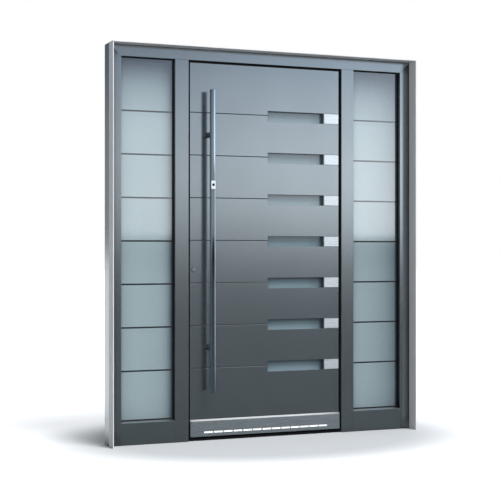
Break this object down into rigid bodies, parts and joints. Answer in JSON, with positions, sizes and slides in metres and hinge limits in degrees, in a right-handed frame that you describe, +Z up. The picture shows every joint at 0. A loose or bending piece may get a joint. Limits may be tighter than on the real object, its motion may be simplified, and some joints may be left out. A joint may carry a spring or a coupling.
{
  "type": "front door with sidelights",
  "caption": "Inward-opening aluminium front door with grooves, slot windows and a long pull bar, set between two satin glass sidelights in one frame",
  "frame": {"origin": "on the floor, middle of the frame's width and depth, on the threshold's underside", "axes": "+X to the right seen from outside, +Y into the house, +Z up"},
  "size_m": [1.954, 0.241, 2.302],
  "materials": {
    "paint": "satin metallic grey paint",
    "surround_paint": "satin grey paint",
    "black_metal": "matt black paint",
    "dark_glass": "polished dark glass",
    "clear_glass": "clear glass",
    "satin_glass": "satin etched",
    "slot_glass": "satin etched",
    "spacer": "mill finish",
    "rubber": "black rubber",
    "lock_steel": "zinc plated",
    "steel": "brushed stainless",
    "inlay_steel": "brushed stainless",
    "opal": "opal",
    "black_gloss": "black gloss",
    "foam": "rigid foam",
    "nickel": "nickel plated"
  },
  "bodies": {
    "frame": {"frame_jamb_left": "paint", "frame_jamb_right": "paint", "frame_head": "paint", "mullion_left": "paint", "mullion_right": "paint", "sill_rail_left": "paint", "sill_rail_right": "paint", "threshold": "black_metal", "surround_left": "surround_paint", "surround_right": "surround_paint", "surround_head": "surround_paint", "outer_pane_left": "dark_glass", "outer_pane_right": "dark_glass", "inner_panes": "clear_glass", "satin_fields_left": "satin_glass", "satin_fields_right": "satin_glass", "pane_spacers": "spacer", "pane_gaskets": "rubber", "glazing_beads": "paint", "strike_plates": "lock_steel", "hinge_frame_halves": "paint", "hinge_pins": "lock_steel"},
    "leaf": {"outer_panel": "paint", "inner_panel": "paint", "insulation_core": "foam", "stile_lock": "paint", "stile_hinge": "paint", "rail_top": "paint", "rail_bottom": "paint", "leaf_seals": "rubber", "kick_plate": "steel", "kick_light_strip": "opal", "pull_bar": "steel", "pull_bar_posts": "steel", "finger_reader": "steel", "reader_window": "black_gloss", "cylinder_rosette": "steel", "lock_cylinder": "nickel", "inner_escutcheon": "steel", "lock_cases": "lock_steel", "lock_faceplate": "lock_steel", "hinge_leaf_halves": "paint", "slot_glass_1": "slot_glass", "slot_glass_2": "slot_glass", "slot_glass_3": "slot_glass", "slot_glass_4": "slot_glass", "slot_glass_5": "slot_glass", "slot_glass_6": "slot_glass", "slot_glass_7": "slot_glass", "steel_inlay_1": "inlay_steel", "steel_inlay_2": "inlay_steel", "steel_inlay_3": "inlay_steel", "steel_inlay_4": "inlay_steel", "steel_inlay_5": "inlay_steel", "steel_inlay_6": "inlay_steel", "steel_inlay_7": "inlay_steel"},
    "lever": {"lever": "steel"},
    "key": {"key_plug": "nickel"},
    "latch": {"latch_bolt": "lock_steel"},
    "bolts": {"lock_bolts": "lock_steel"}
  },
  "joints": [
    {"name": "leaf_swing", "type": "hinge", "parent": "frame", "child": "leaf", "pos_m": [0.509, 0.056, 1.132], "axis": [0, 0, -1], "range_deg": [0, 95]},
    {"name": "lever_turn", "type": "hinge", "parent": "leaf", "child": "lever", "pos_m": [-0.46, 0.05, 1.078], "axis": [0, 1, 0], "range_deg": [0, 45], "stiffness_Nm_per_rad": 3, "springref_deg": -20.05},
    {"name": "latch_slide", "type": "slide", "parent": "leaf", "child": "latch", "axis": [-1, 0, 0], "range_m": [0, 0.012]},
    {"name": "bolts_slide", "type": "slide", "parent": "leaf", "child": "bolts", "axis": [-1, 0, 0], "range_m": [0, 0.02]},
    {"name": "key_turn", "type": "hinge", "parent": "leaf", "child": "key", "pos_m": [-0.46, 0, 1.006], "axis": [0, 1, 0], "range_deg": [0, 90]}
  ],
  "couplings": [
    {"joint": "key_turn", "follows": "bolts_slide", "rad_per_m": 78.54}
  ]
}
